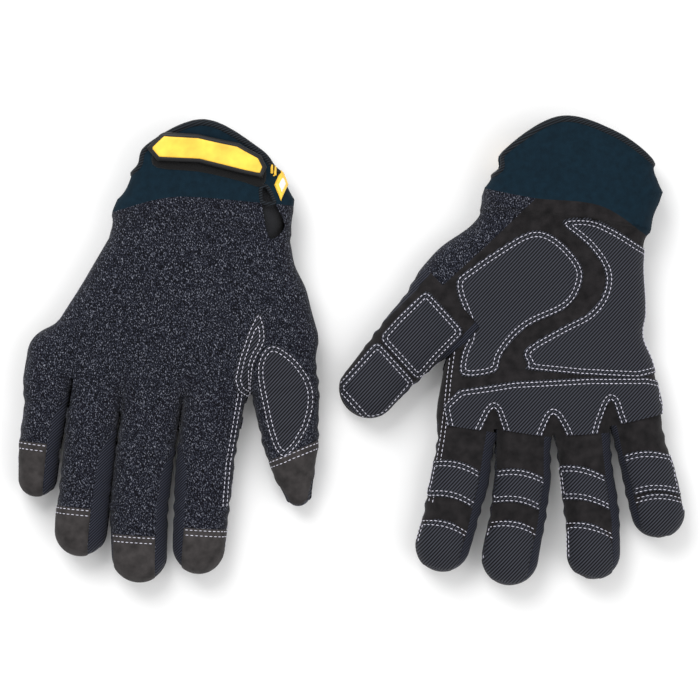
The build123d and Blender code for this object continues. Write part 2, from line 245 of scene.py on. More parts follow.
class Finger:
    def __init__(self, mark, name):
        self.mark, self.name = mark, name
        self.body_mid, self.body_tip = f"{mark}_{name}_mid", f"{mark}_{name}_tip"
        at = [np.array(JOINTS[f"{mark}_{name}_{part}_bend"]["pos_m"]) / MM for part in ("mid", "tip")]
        self.knuckle, self.middle = at
        self.along = (at[1] - at[0])[:2] / np.linalg.norm((at[1] - at[0])[:2])
        self.between = np.linalg.norm(at[1] - at[0])
        self.tip_s = self.between + TIP_REACH[mark][name]
        self.cut_s = self.between / 2
        self.spine = np.array([(x + CENTRE[0], y + CENTRE[1], w)
                               for x, y, w in SPINES[mark][name]])

    def s(self, p):
        """Distance past the knuckle hinge."""
        return (p[..., :2] - self.knuckle[:2]) @ self.along

    def field(self, xy, z, palm):
        far, width, side = along_spine(xy, self.spine)
        high = np.minimum(12.2, 0.92 * width + 0.6)
        middle = SEAM_Z - (12.2 - high) * 0.55
        value = (full(far, (z - middle) / high) - 1) * np.minimum(width, high)
        # Creases across the palm side of each hinge, and slack behind it.
        s = self.s(xy)
        inner = np.clip((z - SEAM_Z) * palm / 8, 0, 1)
        for hinge in (0.0, self.between):
            value = value + 0.9 * inner * np.exp(-((s - hinge) / 2.6) ** 2)
            value = value - 0.35 * np.cos((s - hinge) * 0.75) * np.exp(-((s - hinge) / 9) ** 2)
        return value, side


class Glove:
    def __init__(self, mark):
        self.mark = mark
        self.palm = 1 if mark == "b" else -1
        self.fingers = [Finger(mark, n) for n in ("index", "middle", "ring", "little", "thumb")]
        self.hand = rounded(HANDS[mark]) + CENTRE
        cuff = CUFFS[mark]
        self.cuff_at = np.array(cuff["at"]) + CENTRE
        self.cuff_dir = np.array(cuff["dir"]) / np.linalg.norm(cuff["dir"])
        self.cuff_across = np.array([self.cuff_dir[1], -self.cuff_dir[0]])
        self.cuff_half, self.cuff_z = cuff["half"], cuff["z"]
        self.rim = rounded(cuff["rim"], closed=False, each=6) + CENTRE
        self.seam = rounded(cuff["seam"], closed=False, each=6) + CENTRE

    def past_rim(self, xy):
        """Positive outside the cuff's rim."""
        return from_line(xy, self.rim) * (1 if self.mark == "a" else -1)

    def past_seam(self, xy):
        """Positive on the cuff's side of its seam with the hand."""
        return from_line(xy, self.seam) * (1 if self.mark == "a" else -1)

    def body_field(self, xy, z):
        """The hand and the cuff."""
        q = (xy - self.cuff_at) @ self.cuff_dir
        p = (xy - self.cuff_at) @ self.cuff_across
        near_wrist = np.clip((q + 90) / 90, 0, 1)
        high = 12.8 + 2.4 * near_wrist
        middle = 13.4 + 2.4 * near_wrist
        edge = from_outline(xy, self.hand)
        inward = np.clip(1 + edge / 21, 0, None)
        hand = (full(inward, (z - middle) / high) - 1) * high
        share = np.clip(q / 40, 0, 1)
        half = self.cuff_half[0] + (self.cuff_half[1] - self.cuff_half[0]) * share
        tube = (full(np.clip((np.abs(p) - half + 21) / 21, 0, None), (z - self.cuff_z) / 14.9) - 1) * 14.9
        tube = np.maximum(tube, -(q + 9))
        waist = 1.5 * np.exp(-((q + 1) / 9) ** 2)
        return smooth_min(hand, tube, 9) + waist * 0.6

    def field(self, p, only=None):
        """The skin's field at points: negative inside. only limits it to one finger."""
        xy, z = p[..., :2], p[..., 2]
        value = None
        for finger in self.fingers:
            if only is None or finger is only:
                one, _ = finger.field(xy, z, self.palm)
                value = one if value is None else smooth_min(value, one, 1.2)
        value = smooth_min(value, self.body_field(xy, z), 7)
        return value - 0.32 * ripple(p)

    def normal(self, p, only=None):
        steps = np.eye(3) * 0.35
        g = np.stack([self.field(p + d, only) - self.field(p - d, only) for d in steps], -1)
        return g / np.maximum(np.linalg.norm(g, axis=-1, keepdims=True), 1e-9)

    def settle(self, p, only=None, rounds=2):
        """Points moved onto the skin."""
        for _ in range(rounds):
            g = np.stack([self.field(p + d, only) - self.field(p - d, only)
                          for d in np.eye(3) * 0.3], -1) / 0.6
            size = np.maximum((g * g).sum(-1, keepdims=True), 0.1)
            p = p - np.clip(self.field(p, only)[..., None] * g / size, -1, 1)
        return p

    def as_on(self, mark, xy):
        """Places on this glove as the same places on another, in that glove's own outline."""
        (o, q, p), (ob, qb, pb) = ([np.array(v, float) for v in PALM_FRAME[m]]
                                   for m in (self.mark, mark))
        away = xy - CENTRE - o
        return (away @ q)[..., None] * qb + (away @ p)[..., None] * pb + ob


# ------------------------------------------------------------------ meshes
def surface(field, low, high, step):
    """Triangles of the zero surface of a field inside a box."""
    axes = [np.arange(a, b + step, step) for a, b in zip(low, high)]
    grid = np.stack(np.meshgrid(*axes, indexing="ij"), -1)
    f = field(grid)
    f = np.where(np.abs(f) < 1e-6, 1e-6, f)
    inside = f < 0
    shape = np.array(f.shape) - 1
    total, count = np.zeros((*shape, 3)), np.zeros(shape)
    corner = [(i, j, k) for i in (0, 1) for j in (0, 1) for k in (0, 1)]
    part = lambda a, c: a[c[0]:shape[0] + c[0], c[1]:shape[1] + c[1], c[2]:shape[2] + c[2]]
    for c in corner:
        for axis in range(3):
            if c[axis]:
                continue
            d = list(c)
            d[axis] = 1
            fa, fb = part(f, c), part(f, d)
            cross = (fa < 0) != (fb < 0)
            t = np.where(cross, fa / np.where(cross, fa - fb, 1), 0)
            place = np.array(c, float) + np.eye(3)[axis] * t[..., None]
            total += np.where(cross[..., None], place, 0)
            count += cross
    used = count > 0
    number = np.full(shape, -1)
    number[used] = np.arange(used.sum())
    cells = np.argwhere(used)
    verts = np.array(low) + step * (cells + total[used] / count[used][:, None])
    quads = []
    for axis in range(3):
        u, v = (axis + 1) % 3, (axis + 2) % 3
        stop = [slice(None)] * 3
        stop[axis] = slice(0, -1)
        start = [slice(None)] * 3
        start[axis] = slice(1, None)
        a, b = inside[tuple(stop)], inside[tuple(start)]
        at = np.argwhere(a != b)
        flip = a[tuple(at.T)]
        ok = (at[:, u] > 0) & (at[:, v] > 0) & (at[:, u] < shape[u]) & (at[:, v] < shape[v])
        at, flip = at[ok], flip[ok]
        ring = []
        for du, dv in ((-1, -1), (0, -1), (0, 0), (-1, 0)):
            c = at.copy()
            c[:, u] += du
            c[:, v] += dv
            ring.append(number[tuple(c.T)])
        ring = np.array(ring).T
        ring[~flip] = ring[~flip][:, ::-1]
        quads.append(ring)
    quads = np.concatenate(quads)
    return verts, np.concatenate([quads[:, [0, 1, 2]], quads[:, [0, 2, 3]]])


def cut(verts, tris, value):
    """The mesh split along the zero line of a value, and the line's own segments."""
    value = np.where(np.abs(value) < 0.06, np.where(value < 0, -0.06, 0.06), value)
    sign = value[tris] > 0
    count = sign.sum(1)
    whole = (count == 0) | (count == 3)
    mixed, sm, cm = tris[~whole], sign[~whole], count[~whole]
    if not len(mixed):
        return verts, tris, value, np.zeros((0, 2), int)
    odd = np.where((cm == 1)[:, None], sm, ~sm).argmax(1)
    rows = np.arange(len(mixed))
    a, b, c = (mixed[rows, (odd + i) % 3] for i in range(3))
    pairs = np.sort(np.concatenate([np.column_stack([a, b]), np.column_stack([a, c])]), 1)
    pairs, back = np.unique(pairs, axis=0, return_inverse=True)
    back = back.reshape(-1)
    lo, hi = pairs.T
    t = (value[lo] / (value[lo] - value[hi]))[:, None]
    fresh = verts[lo] + (verts[hi] - verts[lo]) * t
    ab, ac = len(verts) + back[:len(a)], len(verts) + back[len(a):]
    tris = np.concatenate([tris[whole], np.column_stack([a, ab, ac]),
                           np.column_stack([ab, b, c]), np.column_stack([ab, c, ac])])
    return (np.concatenate([verts, fresh]), tris,
            np.concatenate([value, np.zeros(len(fresh))]), np.column_stack([ab, ac]))


def keep(verts, tris, mask):
    """The chosen triangles with only their own points."""
    tris = tris[mask]
    used, back = np.unique(tris, return_inverse=True)
    return verts[used], back.reshape(tris.shape), used


def make(name, verts, tris, material, normals=None, smooth=True):
    """A mesh object from points in millimetres."""
    mesh = bpy.data.meshes.new(name)
    mesh.vertices.add(len(verts))
    mesh.vertices.foreach_set("co", (np.asarray(verts) * MM).astype(np.float32).ravel())
    mesh.loops.add(tris.size)
    mesh.loops.foreach_set("vertex_index", tris.astype(np.int32).ravel())
    mesh.polygons.add(len(tris))
    mesh.polygons.foreach_set("loop_start", np.arange(0, tris.size, tris.shape[1], dtype=np.int32))
    mesh.polygons.foreach_set("use_smooth", np.full(len(tris), smooth))
    rest = mesh.attributes.new("rest", "FLOAT_VECTOR", "POINT")
    rest.data.foreach_set("vector", (np.asarray(verts) * MM).astype(np.float32).ravel())
    mesh.update(calc_edges=True)
    mesh.validate()
    if normals is not None and len(mesh.vertices) == len(normals):
        mesh.normals_split_custom_set_from_vertices(normals.tolist())
    mesh.materials.append(MATERIALS[material])
    item = bpy.data.objects.new(name, mesh)
    bpy.context.scene.collection.objects.link(item)
    return item


# ------------------------------------------------------------------ materials
class Nodes:
    """Short hands for building one material."""

    def __init__(self, name, base, rough, sheen=0.0, spec=0.35):
        self.material = bpy.data.materials.new(name)
        self.material.use_nodes = True
        self.tree = self.material.node_tree
        self.shader = self.tree.nodes["Principled BSDF"]
        self.shader.inputs["Base Color"].default_value = (*base, 1)
        self.shader.inputs["Roughness"].default_value = rough
        self.shader.inputs["Sheen Weight"].default_value = sheen
        self.shader.inputs["Sheen Roughness"].default_value = 0.5
        self.shader.inputs["Specular IOR Level"].default_value = spec
        self.base = base
        self.place = self.add("ShaderNodeAttribute")
        self.place.attribute_name = "rest"
        self.bumps = None

    def add(self, kind, **settings):
        node = self.tree.nodes.new(kind)
        for key, value in settings.items():
            setattr(node, key, value)
        return node

    def link(self, a, b):
        self.tree.links.new(a, b)

    def mapped(self, scale=(1, 1, 1), turn=0.0):
        node = self.add("ShaderNodeMapping")
        node.inputs["Scale"].default_value = scale
        node.inputs["Rotation"].default_value = (0, 0, turn)
        self.link(self.place.outputs["Vector"], node.inputs["Vector"])
        return node.outputs["Vector"]

    def noise(self, scale, detail=3.0, stretch=(1, 1, 1), turn=0.0):
        node = self.add("ShaderNodeTexNoise")
        node.inputs["Scale"].default_value = scale
        node.inputs["Detail"].default_value = detail
        self.link(self.mapped(stretch, turn), node.inputs["Vector"])
        return node.outputs["Fac"]

    def ribs(self, period_mm, turn):
        """Fine parallel ribs, 0 to 1."""
        node = self.add("ShaderNodeTexWave", wave_type="BANDS", bands_direction="X")
        node.inputs["Scale"].default_value = 2 * np.pi / (period_mm * MM) / 20
        node.inputs["Distortion"].default_value = 0.15
        self.link(self.mapped(turn=turn), node.inputs["Vector"])
        return node.outputs["Fac"]

    def ramp(self, factor, stops):
        node = self.add("ShaderNodeValToRGB")
        ends = node.color_ramp.elements
        while len(ends) < len(stops):
            ends.new(0.5)
        for end, (at, colour) in zip(ends, stops):
            end.position = at
            end.color = (*colour, 1)
        self.link(factor, node.inputs["Fac"])
        return node.outputs["Color"]

    def colour(self, output):
        self.link(output, self.shader.inputs["Base Color"])

    def bump(self, height, distance_mm, strength=1.0):
        node = self.add("ShaderNodeBump")
        node.inputs["Distance"].default_value = distance_mm * MM
        node.inputs["Strength"].default_value = strength
        self.link(height, node.inputs["Height"])
        if self.bumps is not None:
            self.link(self.bumps, node.inputs["Normal"])
        self.bumps = node.outputs["Normal"]
        self.link(self.bumps, self.shader.inputs["Normal"])


def tone(r, g, b):
    """A colour from its screen values."""
    return tuple((v / 255) ** 2.2 for v in (r, g, b))


def knit():
    m = Nodes("stretch_knit", tone(22, 23, 31), 0.9, sheen=0.05, spec=0.15)
    speckle = m.noise(1900, 3.0, stretch=(1, 0.6, 1), turn=0.5)
    m.colour(m.ramp(speckle, [(0.38, tone(4, 5, 12)), (0.50, tone(20, 21, 30)),
                              (0.60, tone(52, 55, 66)), (0.70, tone(132, 134, 143))]))
    m.bump(speckle, 0.45, 0.8)
    m.bump(m.noise(160, 3.0), 1.0, 0.3)
    return m.material


def twill(name, dark, light, period, turn):
    m = Nodes(name, dark, 0.75, sheen=0.04, spec=0.2)
    ribs = m.ribs(period, turn)
    m.colour(m.ramp(ribs, [(0.35, dark), (0.9, light)]))
    m.bump(ribs, 0.35, 0.8)
    m.bump(m.noise(220, 3.0), 0.8, 0.3)
    return m.material


def suede(name, dark, light):
    m = Nodes(name, dark, 0.92, sheen=0.06, spec=0.12)
    cloud = m.noise(180, 6.0)
    m.colour(m.ramp(cloud, [(0.3, dark), (0.7, light)]))
    m.bump(m.noise(2600, 2.0), 0.25, 0.5)
    m.bump(m.noise(260, 4.0), 0.9, 0.45)
    return m.material


def plain(name, base, rough, grain=1800, deep=0.15, sheen=0.0, spec=0.4):
    m = Nodes(name, base, rough, sheen=sheen, spec=spec)
    m.colour(m.ramp(m.noise(grain / 8, 4.0), [(0.3, tuple(v * 0.8 for v in base)),
                                              (0.7, tuple(v * 1.2 for v in base))]))
    m.bump(m.noise(grain, 2.0), deep, 0.5)
    return m.material


MATERIALS = {
    "knit": knit(),
    "fourchette": twill("fourchette_twill", tone(9, 10, 18), tone(52, 55, 68), 1.1, 0.8),
    "nylon": twill("ribbed_nylon", tone(8, 9, 14), tone(62, 64, 73), 1.4, 0.75),
    "suede": suede("palm_suede", tone(26, 25, 26), tone(42, 40, 41)),
    "cap": suede("cap_suede", tone(46, 44, 44), tone(66, 63, 63)),
    "neoprene": plain("neoprene", tone(18, 35, 45), 0.85, 2400, 0.15, spec=0.12),
    "binding": twill("elastic_binding", tone(12, 15, 20), tone(38, 44, 50), 1.3, 1.2),
    "lining": plain("fleece_lining", tone(30, 31, 34), 0.95, 1400, 0.5, sheen=0.1),
    "loop": plain("loop_pile", tone(10, 10, 12), 0.98, 2600, 0.7, sheen=0.1),
    "moulded": plain("moulded_rubber", tone(14, 14, 16), 0.5, 900, 0.08),
    "inlay": plain("yellow_rubber", tone(250, 200, 70), 0.45, 900, 0.05),
    "thread": plain("white_thread", tone(214, 212, 226), 0.7, 3000, 0.1),
    "bead": plain("white_rubber", tone(232, 230, 224), 0.45, 900, 0.05),
}


# ------------------------------------------------------------------ zones and what lies on them
class Zone:
    """A stretch of skin, the hand's or one part of a finger."""

    def __init__(self, glove, finger, part, verts, tris):
        self.glove, self.finger, self.part = glove, finger, part
        self.verts, self.tris = verts, tris
        self.normals = glove.normal(verts, finger)
        self.label = f"{glove.mark}_{finger.name}_{part}" if finger else f"{glove.mark}_hand"

    def hold(self, item):
        """A hand piece follows the hand's body; a finger's piece keeps the place it was made in."""
        mark, f = self.glove.mark, self.finger
        if f is None:
            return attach(item, f"{mark}_hand")
        hinge, pair = ((f.knuckle, (f"{mark}_hand", f.body_mid)) if self.part == "mid"
                       else (f.middle, (f.body_mid, f.body_tip)))
        reach = np.array([*f.along, 0]) * BEND
        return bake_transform(item, *pair, start=tuple((hinge - reach) * MM),
                        end=tuple((hinge + reach) * MM))

    def panel(self, name, material, mask):
        if not mask.any():
            return None
        verts, tris, used = keep(self.verts, self.tris, mask)
        item = make(f"{self.label}_{name}", verts, tris, material, self.normals[used])
        return self.hold(item)

    def overlay(self, name, material, field, thick, roll=1.0, lift=0.0, body=None):
        """A shell on the skin where the field is negative, with its edges rolled down."""
        value = field(self.verts)
        if not (value < 0).any():
            return None
        verts, tris = self.verts, self.tris
        near = (value[tris] < 1).any(1)
        verts, tris, _ = keep(verts, tris, near)
        for level in (0.0, -0.3 * roll, -roll):
            verts, tris, value, _ = cut(verts, tris, field(verts) - level)
        inside = field(verts[tris].mean(1)) < 0
        if inside.sum() < 4:
            return None
        verts, tris, _ = keep(verts, tris, inside)
        verts = self.glove.settle(verts, self.finger, 1)
        n = self.glove.normal(verts, self.finger)
        d = np.clip(-field(verts) / roll, 0, 1)
        rise = thick * np.sqrt(1 - (1 - d) ** 2)
        top = verts + n * (lift + 0.04 + rise)[:, None]
        under = verts + n * (lift + 0.02)
        if lift:
            top = np.concatenate([top, under])
            tris = np.concatenate([tris, tris[:, ::-1] + len(verts)])
        item = make(f"{self.label}_{name}", top, tris, material)
        if body:
            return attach(item, body)
        return self.hold(item)

    def seam(self, name, field, rows, mask=None, lift=PATCH_THICK):
        """Rows of stitches along lines at set distances inside a field's outline."""
        stitches = []
        for row in rows:
            value = field(self.verts) + row
            verts, _, _, lines = cut(self.verts, self.tris, value)
            for line in chains(lines, verts):
                stitches += spread(line, mask)
        if not stitches:
            return None
        return self.stitched(name, stitches, lift)

    def stitched(self, name, stitches, lift):
        at, to = (np.array(v) for v in zip(*stitches))
        n = self.glove.normal(at, self.finger)
        verts, tris = sew(at + n * (lift + 0.12), to, n)
        item = make(f"{self.label}_{name}", verts, tris, "thread")
        return self.hold(item)


def chains(segments, verts):
    """Lines of points from loose segments."""
    links = {}
    for a, b in segments:
        links.setdefault(int(a), []).append(int(b))
        links.setdefault(int(b), []).append(int(a))
    seen, lines = set(), []
    for first in sorted(links, key=lambda k: len(links[k])):
        if first in seen:
            continue
        line, here = [first], first
        seen.add(first)
        while True:
            onward = [k for k in links[here] if k not in seen]
            if not onward:
                break
            here = onward[0]
            seen.add(here)
            line.append(here)
        if len(line) > 2 and line[0] in links[line[-1]]:
            line.append(line[0])
        if len(line) > 2:
            lines.append(verts[line])
    return lines


def spread(line, mask=None):
    """Stitch places and directions evenly along a line."""
    steps = np.linalg.norm(np.diff(line, axis=0), axis=1)
    length = np.concatenate([[0], np.cumsum(steps)])
    count = int(length[-1] / STITCH["pitch"])
    if count < 2:
        return []
    found = []
    for k in range(count):
        t = (k + 0.5) * length[-1] / count
        a, b = (np.array([np.interp(t + d, length, line[:, i]) for i in range(3)])
                for d in (-STITCH["long"] / 2, STITCH["long"] / 2))
        middle = (a + b) / 2
        if mask is None or mask(middle[None])[0]:
            found.append((middle, (b - a) / max(np.linalg.norm(b - a), 1e-6)))
    return found


def sew(at, to, n):
    """Small raised threads at places, along directions."""
    side = np.cross(n, to)
    side /= np.maximum(np.linalg.norm(side, axis=1, keepdims=True), 1e-9)
    rings = [(-0.5, 0.45, -0.2), (0.0, 1.0, 0.35), (0.5, 0.45, -0.2)]
    count = 5
    round_ = [(np.cos(t), np.sin(t)) for t in np.arange(count) * 2 * np.pi / count]
    verts = []
    for share, fat, up in rings:
        for c, s in round_:
            verts.append(at + to * share * STITCH["long"] + (side * c + n * s) * fat * STITCH["thick"]
                         + n * up * STITCH["thick"])
    verts = np.stack(verts, 1)
    faces = []
    for r in range(len(rings) - 1):
        for k in range(count):
            a, b = r * count + k, r * count + (k + 1) % count
            faces += [(a, b, b + count), (a, b + count, a + count)]
    last = (len(rings) - 1) * count
    for k in range(1, count - 1):
        faces += [(0, k + 1, k), (last, last + k, last + k + 1)]
    faces = np.array(faces)
    tris = (faces[None] + (np.arange(len(at)) * verts.shape[1])[:, None, None]).reshape(-1, 3)
    return verts.reshape(-1, 3), tris


def tube(name, line, radius, material, flat=1.0, closed=False):
    """A round or flattened cord along a line of points."""
    line = np.asarray(line, float)
    ahead = np.roll(line, -1, 0) - np.roll(line, 1, 0)
    if not closed:
        ahead[0], ahead[-1] = line[1] - line[0], line[-1] - line[-2]
    ahead /= np.linalg.norm(ahead, axis=1, keepdims=True)
    up = np.array([0, 0, 1.0]) - ahead * ahead[:, 2:]
    up /= np.maximum(np.linalg.norm(up, axis=1, keepdims=True), 1e-6)
    side = np.cross(ahead, up)
    count, n = 8, len(line)
    ring = [(np.cos(t), np.sin(t)) for t in np.arange(count) * 2 * np.pi / count]
    verts = np.stack([line + (side * c + up * s * flat) * radius for c, s in ring], 1).reshape(-1, 3)
    tris = []
    for i in range(n if closed else n - 1):
        for k in range(count):
            a, b = i * count + k, i * count + (k + 1) % count
            c, d = ((i + 1) % n) * count + (k + 1) % count, ((i + 1) % n) * count + k
            tris += [(a, b, c), (a, c, d)]
    if not closed:
        last = (n - 1) * count
        for k in range(1, count - 1):
            tris += [(0, k + 1, k), (last, last + k, last + k + 1)]
    return make(name, verts, np.array(tris), material)


# ------------------------------------------------------------------ building a glove
TAB = [(-109, 108), (-101, 116.5), (-82, 115.6), (-60.5, 110.7), (-49, 104), (-46.4, 98),
       (-48.6, 91.8), (-60.5, 94.5), (-82, 99.9), (-103.7, 101)]
LOOP_PAD = [(-107, 104), (-100, 112), (-82, 112), (-60, 107), (-47, 99), (-48, 87.5),
            (-60, 90.5), (-82, 95.5), (-104, 97.5)]
VENT = [(-49, 87), (-47.5, 73), (-44.5, 60.5), (-40.5, 60.5), (-36, 67), (-40.5, 77), (-45, 87)]
DIAMOND = [(-38.3, 97), (-35, 88.5), (-38.3, 80), (-41.7, 88.5)]
BARS = [(-44.9, 97.6), (-43.2, 96.9), (-41.5, 96.2)]
WEDGE = [(110, 86), (98.8, 81.5), (70, 54), (42.7, 29.2), (38, 24)]


def inside_outline(glove, mark, points, face, smooth=3):
    """A field that is negative on one face of the glove, inside an outline on glove mark."""
    line = rounded(points, each=smooth) if smooth else np.array(points, float)
    side = glove.palm * face

    def value(p):
        xy = glove.as_on(mark, p[..., :2])
        return np.maximum(from_outline(xy, line), 1.5 - (p[..., 2] - SEAM_Z) * side)
    return value


def hand_zone(glove):
    roots = np.array([f.knuckle[:2] for f in glove.fingers])
    low = np.array([*np.minimum(glove.hand.min(0) - 8, roots.min(0) - (26, 6)), -0.8])
    high = np.array([max(glove.hand[:, 0].max() + 8, roots[:, 0].max() + 24),
                     glove.rim[:, 1].max() + 6, 37.5])
    verts, tris = surface(glove.field, low, high, HAND_STEP)
    verts = glove.settle(verts)
    for limit in (glove.past_rim, glove.past_seam):
        verts, tris, _, _ = cut(verts, tris, limit(verts[:, :2]))
    for finger in glove.fingers:
        verts, tris, _, _ = cut(verts, tris, finger_zone(finger, verts))
    vent = inside_outline(glove, "a", VENT, -1)
    for value in (lambda p: (p[:, 2] - SEAM_Z) * -glove.palm, wedge_field(glove), vent):
        verts, tris, _, _ = cut(verts, tris, value(verts))
    verts = glove.settle(verts, rounds=1)
    at = verts[tris].mean(1)
    lost = (glove.past_rim(at[:, :2]) > 0) | (vent(at) < 0)
    for finger in glove.fingers:
        lost |= finger_zone(finger, at) < 0
    # Webs between the fingers end a little past the knuckles.
    near = np.argmin([along_spine(at[:, :2], f.spine)[0] for f in glove.fingers], 0)
    past = np.choose(near, [f.s(at) for f in glove.fingers])
    lost |= past > WEB
    verts, tris, _ = keep(verts, tris, ~lost)
    return Zone(glove, None, "hand", verts, tris)


def wedge_field(glove):
    """Negative on the palm side where the back's knit wraps round the thumb's base."""
    line = np.array(WEDGE, float)

    def value(p):
        xy = glove.as_on("b", p[..., :2])
        return np.maximum(from_line(xy, line), -(p[..., 2] - SEAM_Z) * glove.palm)
    return value


def finger_zone(finger, p):
    """Negative in the stretch of skin that belongs to a finger."""
    _, width, side = along_spine(p[..., :2], finger.spine)
    return np.maximum(FINGER_ROOT - finger.s(p), np.abs(side) - width - 1.2)


def back_field(glove, finger, p):
    """Negative on a finger's back panel."""
    offset, root, middle, tip = BACKS[finger.name]
    thumb_side = 1 if glove.mark == "a" else -1
    s = finger.s(p)
    _, _, side = along_spine(p[..., :2], finger.spine)
    half = np.interp(s, [FINGER_ROOT, 12, finger.tip_s], [root, middle, tip])
    at = offset * np.clip((s - FINGER_ROOT) / 22, 0, 1)
    return np.maximum(np.abs(side * thumb_side - at) - half, 1.0 + (p[..., 2] - SEAM_Z) * glove.palm)


def plate(glove, finger, p, start, stop, middle, half, corner, arch=0.0, slant=0.0):
    """Negative on a rounded, arched plate of a finger's palm side. middle is towards the thumb."""
    _, _, side = along_spine(p[..., :2], finger.spine)
    u = side * (-1 if glove.mark == "b" else 1) - middle
    s = finger.s(p) - arch * u * u + slant * u
    a, b = np.maximum(start - s, s - stop), np.abs(u) - half
    soft = np.sqrt(np.clip(a + corner, 0, None) ** 2 + np.clip(b + corner, 0, None) ** 2) - corner
    value = np.where((a < -corner) | (b < -corner), np.maximum(a, b), soft)
    return np.maximum(value, 3.0 - (p[..., 2] - SEAM_Z) * glove.palm)


def palm_field(glove, finger, p):
    """Negative on a finger's palm panel."""
    middle, half = PALMS[finger.name]
    return plate(glove, finger, p, FINGER_ROOT - 60, finger.tip_s - 2.4, middle, half, 9.0)


def finger_zones(glove, finger):
    spine = finger.spine
    low = np.array([*(spine[:, :2].min(0) - 21), -1.2])
    high = np.array([*(spine[:, :2].max(0) + 21), 30.0])
    field = lambda p: glove.field(p, finger)
    verts, tris = surface(field, low, high, FINGER_STEP)
    verts = glove.settle(verts, finger)
    for value in (lambda p: finger_zone(finger, p), lambda p: finger.s(p) - finger.cut_s,
                  lambda p: back_field(glove, finger, p), lambda p: palm_field(glove, finger, p)):
        verts, tris, _, _ = cut(verts, tris, value(verts))
    verts = glove.settle(verts, finger, 1)
    at = verts[tris].mean(1)
    mine = finger_zone(finger, at) < 0
    low_part = finger.s(at) < finger.cut_s
    for part, mask in (("mid", mine & low_part), ("tip", mine & ~low_part)):
        v, t, _ = keep(verts, tris, mask)
        yield Zone(glove, finger, part, v, t)


def stand_for(item, *nodes):
    known = [n for n in nodes if n in frame["nodes"]]
    if item is not None and known:
        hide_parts(*known)
    return item


def dress_finger(zone):
    glove, finger, part = zone.glove, zone.finger, zone.part
    label = f"{glove.mark}_{finger.name}_{part}"
    at = zone.verts[zone.tris].mean(1)
    back = back_field(glove, finger, at) < 0
    palm = palm_field(glove, finger, at) < 0
    thumb = finger.name == "thumb"
    stand_for(zone.panel("back", "knit", back), f"{label}_back", label)
    stand_for(zone.panel("palm", "suede", palm & ~back), f"{label}_palm")
    zone.panel("fourchette", "fourchette", ~back & ~palm)
    # Fingertip cap on the back.
    cap_s = finger.tip_s - CAPS[finger.name]

    def cap_top(p):
        _, _, side = along_spine(p[..., :2], finger.spine)
        return cap_s + 1.0 - finger.s(p) + (THUMB_CAP_SLANT if thumb else 0.0) * side

    def cap(p):
        return np.maximum(cap_top(p), back_field(glove, finger, p) + 0.3)

    if part == "tip" or thumb:
        zone.overlay("cap", "cap", cap, CAP_THICK, 1.2)
        zone.seam("cap_stitches", cap_top, (1.0, 3.8), lambda p: back_field(glove, finger, p) < -0.8,
                  CAP_THICK)
    if thumb:
        dress_thumb(zone)
        return
    upper, lower, tip, slant = PADS[finger.name]
    middle, half = PALMS[finger.name]
    reach = finger.tip_s
    for name, start, stop, corner in (("middle_pad", reach - upper, reach - lower, 1.0),
                                      ("tip_pad", reach - tip, reach - 2.6, 8.5)):

        def pad(p, a=start, b=stop, c=corner):
            return plate(glove, finger, p, a, b, middle, half - 0.2, c, ARCH, slant)

        def ends(p, a=start, b=stop):
            return plate(glove, finger, p, a, b, middle, half + 30, 0.5, ARCH, slant)

        def open_part(p, a=start):
            side = palm_field(glove, finger, p) < -0.9
            return side & ((finger.s(p) < a + 7) | (finger.s(p) < reach - 14))

        zone.overlay(name, "nylon", pad, PATCH_THICK, 1.0)
        zone.seam(f"{name}_stitches", ends, ROWS, open_part)
    if finger.name == "index":
        side_seam(zone)


def side_seam(zone):
    """Two rows of stitches down the thumb's side of the index finger."""
    glove = zone.glove
    finger = glove.fingers[0]
    outward = 1 if glove.mark == "a" else -1
    start, stop = SIDE_SEAM

    def above(p):
        return (p[..., 2] - SEAM_Z) * glove.palm * -outward

    def line(p):
        _, width, side = along_spine(p[..., :2], finger.spine)
        return np.maximum(side * outward - width + 1.0, 1.5 - above(p))

    def stretch(p):
        _, width, side = along_spine(p[..., :2], finger.spine)
        s = finger.s(p)
        return (side * outward > 0.4 * width) & (s > start) & (s < stop) & (above(p) > 2.5)

    zone.seam("side_stitches", line, SIDE_ROWS, stretch, 0.0)


def dress_thumb(zone):
    glove, finger = zone.glove, zone.finger
    width = 15.5 if glove.mark == "b" else 12.5
    reach = finger.tip_s
    for name, start, stop in (("lower_pad", -4.5, 32.5), ("tip_pad", 33.4, reach - 2.5)):
        def pad(p, a=start, b=stop):
            return plate(glove, finger, p, a, b, -1.5, width, 4.0)
        zone.overlay(name, "nylon", pad, PATCH_THICK, 1.2)
        zone.seam(f"{name}_stitches", pad, ROWS,
                  lambda p: (p[:, 2] - SEAM_Z) * glove.palm > 4.5)
    dress_back_patches(zone)


def dress_back_patches(zone):
    """Patches on the back of the thumb and over its crotch."""
    for name, points in BACK_PATCHES_A.items():
        field = inside_outline(zone.glove, "a", points, -1)
        zone.overlay(name, "nylon", field, PATCH_THICK, 1.2)
        zone.seam(f"{name}_stitches", field, ROWS)


def dress_hand(zone):
    glove, mark = zone.glove, zone.glove.mark
    at = zone.verts[zone.tris].mean(1)
    cuff = glove.past_seam(at[:, :2]) > 0
    wedge = wedge_field(glove)(at) < 0
    back = ((at[:, 2] - SEAM_Z) * -glove.palm > 0) | wedge
    stand_for(zone.panel("back_panel", "knit", back & ~cuff), f"{mark}_back_panel")
    stand_for(zone.panel("palm_panel", "suede", ~back & ~cuff), f"{mark}_palm_panel")
    stand_for(zone.panel("cuff", "neoprene", cuff), f"{mark}_cuff")
    for name, points in PALM.items():
        field = inside_outline(glove, "b", points, 1)
        stand_for(zone.overlay(name, "nylon", field, PATCH_THICK, 1.2), f"{mark}_{name}")
        zone.seam(f"{name}_stitches", field, ROWS)
    dress_back_patches(zone)
    side_seam(zone)
    closure(zone)


